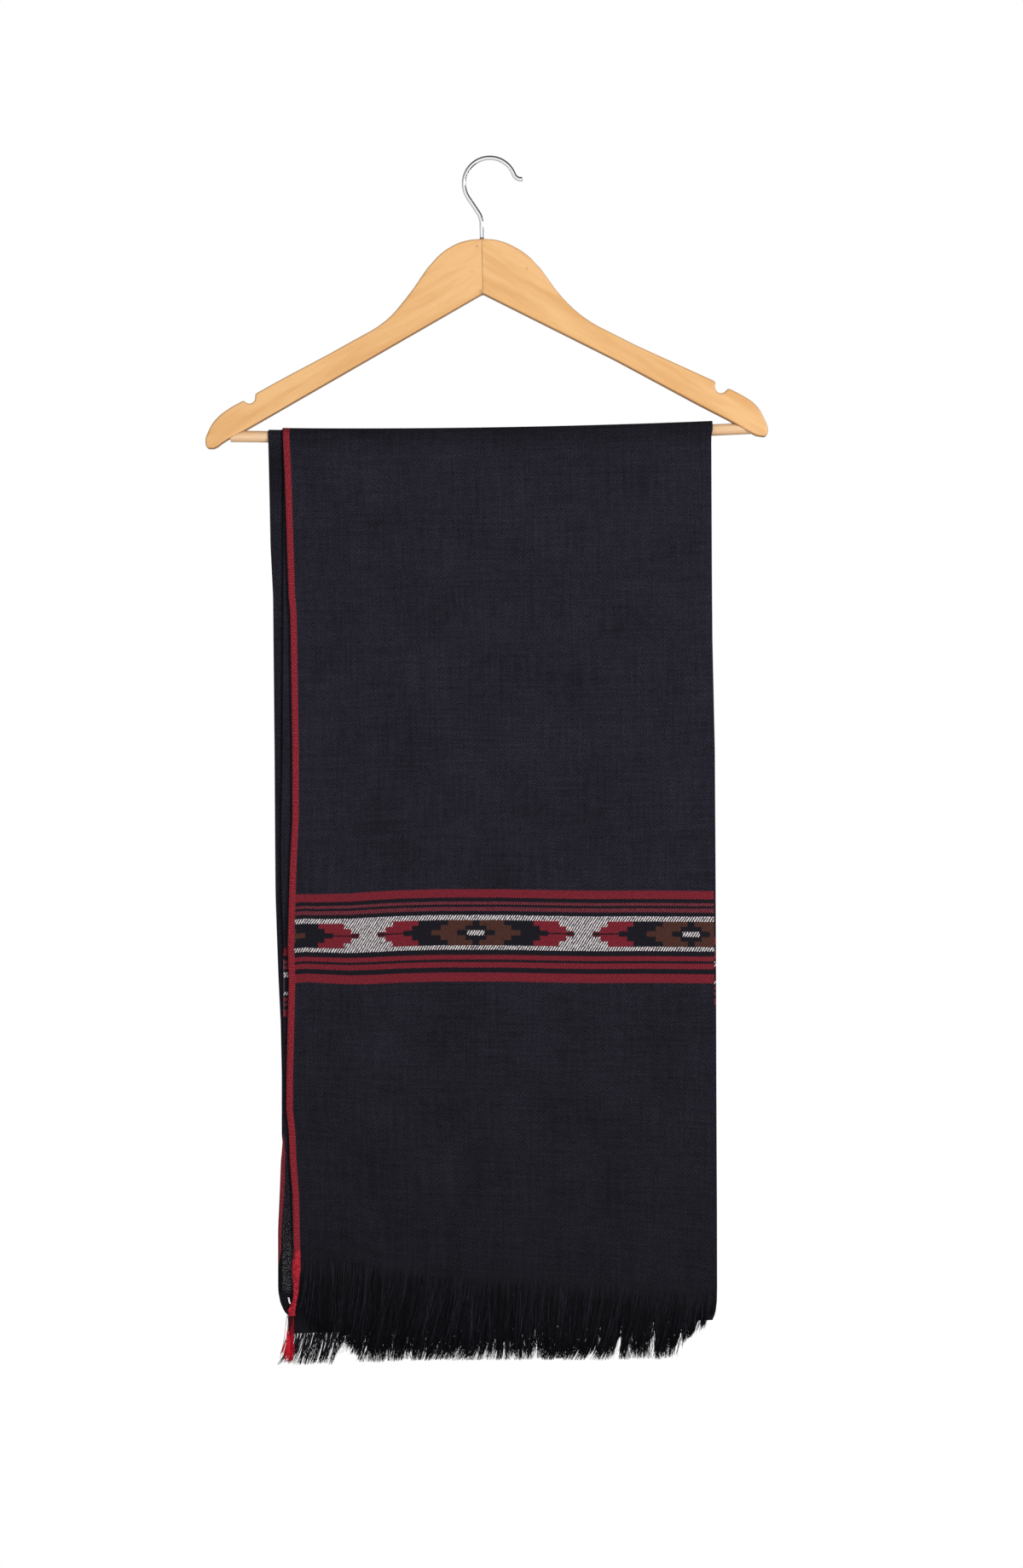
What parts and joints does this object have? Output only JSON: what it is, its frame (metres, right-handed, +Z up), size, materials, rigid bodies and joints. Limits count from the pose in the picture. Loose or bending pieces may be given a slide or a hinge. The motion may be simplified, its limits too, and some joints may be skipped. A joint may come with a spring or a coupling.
{
  "type": "folded shawl on a wooden trouser hanger",
  "caption": "Large fringed woven shawl, folded to a quarter width and hung over the bar of a flat wooden hanger with a wire hook",
  "frame": {"origin": "the underside of the hook's crown, where a rail carries the hanger", "axes": "+Z up, +X to the right seen from the front, and the front faces -Y"},
  "size_m": [0.4467, 0.0166, 0.9586],
  "materials": {
    "wood": "pale clear-lacquered beech",
    "bar_wood": "pale bare wood dowel",
    "hook_wire": "bright plated wire",
    "cloth": "matt near-black woven cloth with a red selvedge and a patterned border",
    "cloth_inner": "matt near-black woven cloth",
    "fringe": "loose near-black warp ends",
    "tassel": "loose red warp ends"
  },
  "bodies": {
    "root": {"hanger_arm_left": "wood", "hanger_arm_right": "wood", "trouser_bar": "bar_wood", "hook": "hook_wire", "front_leaf": "cloth", "turn_leaf": "cloth", "back_leaf": "cloth", "front_folds": "cloth_inner", "turn_folds": "cloth_inner", "back_folds": "cloth_inner", "front_fringe": "fringe", "second_fringe": "fringe", "corner_tassel": "tassel"}
  },
  "joints": []
}
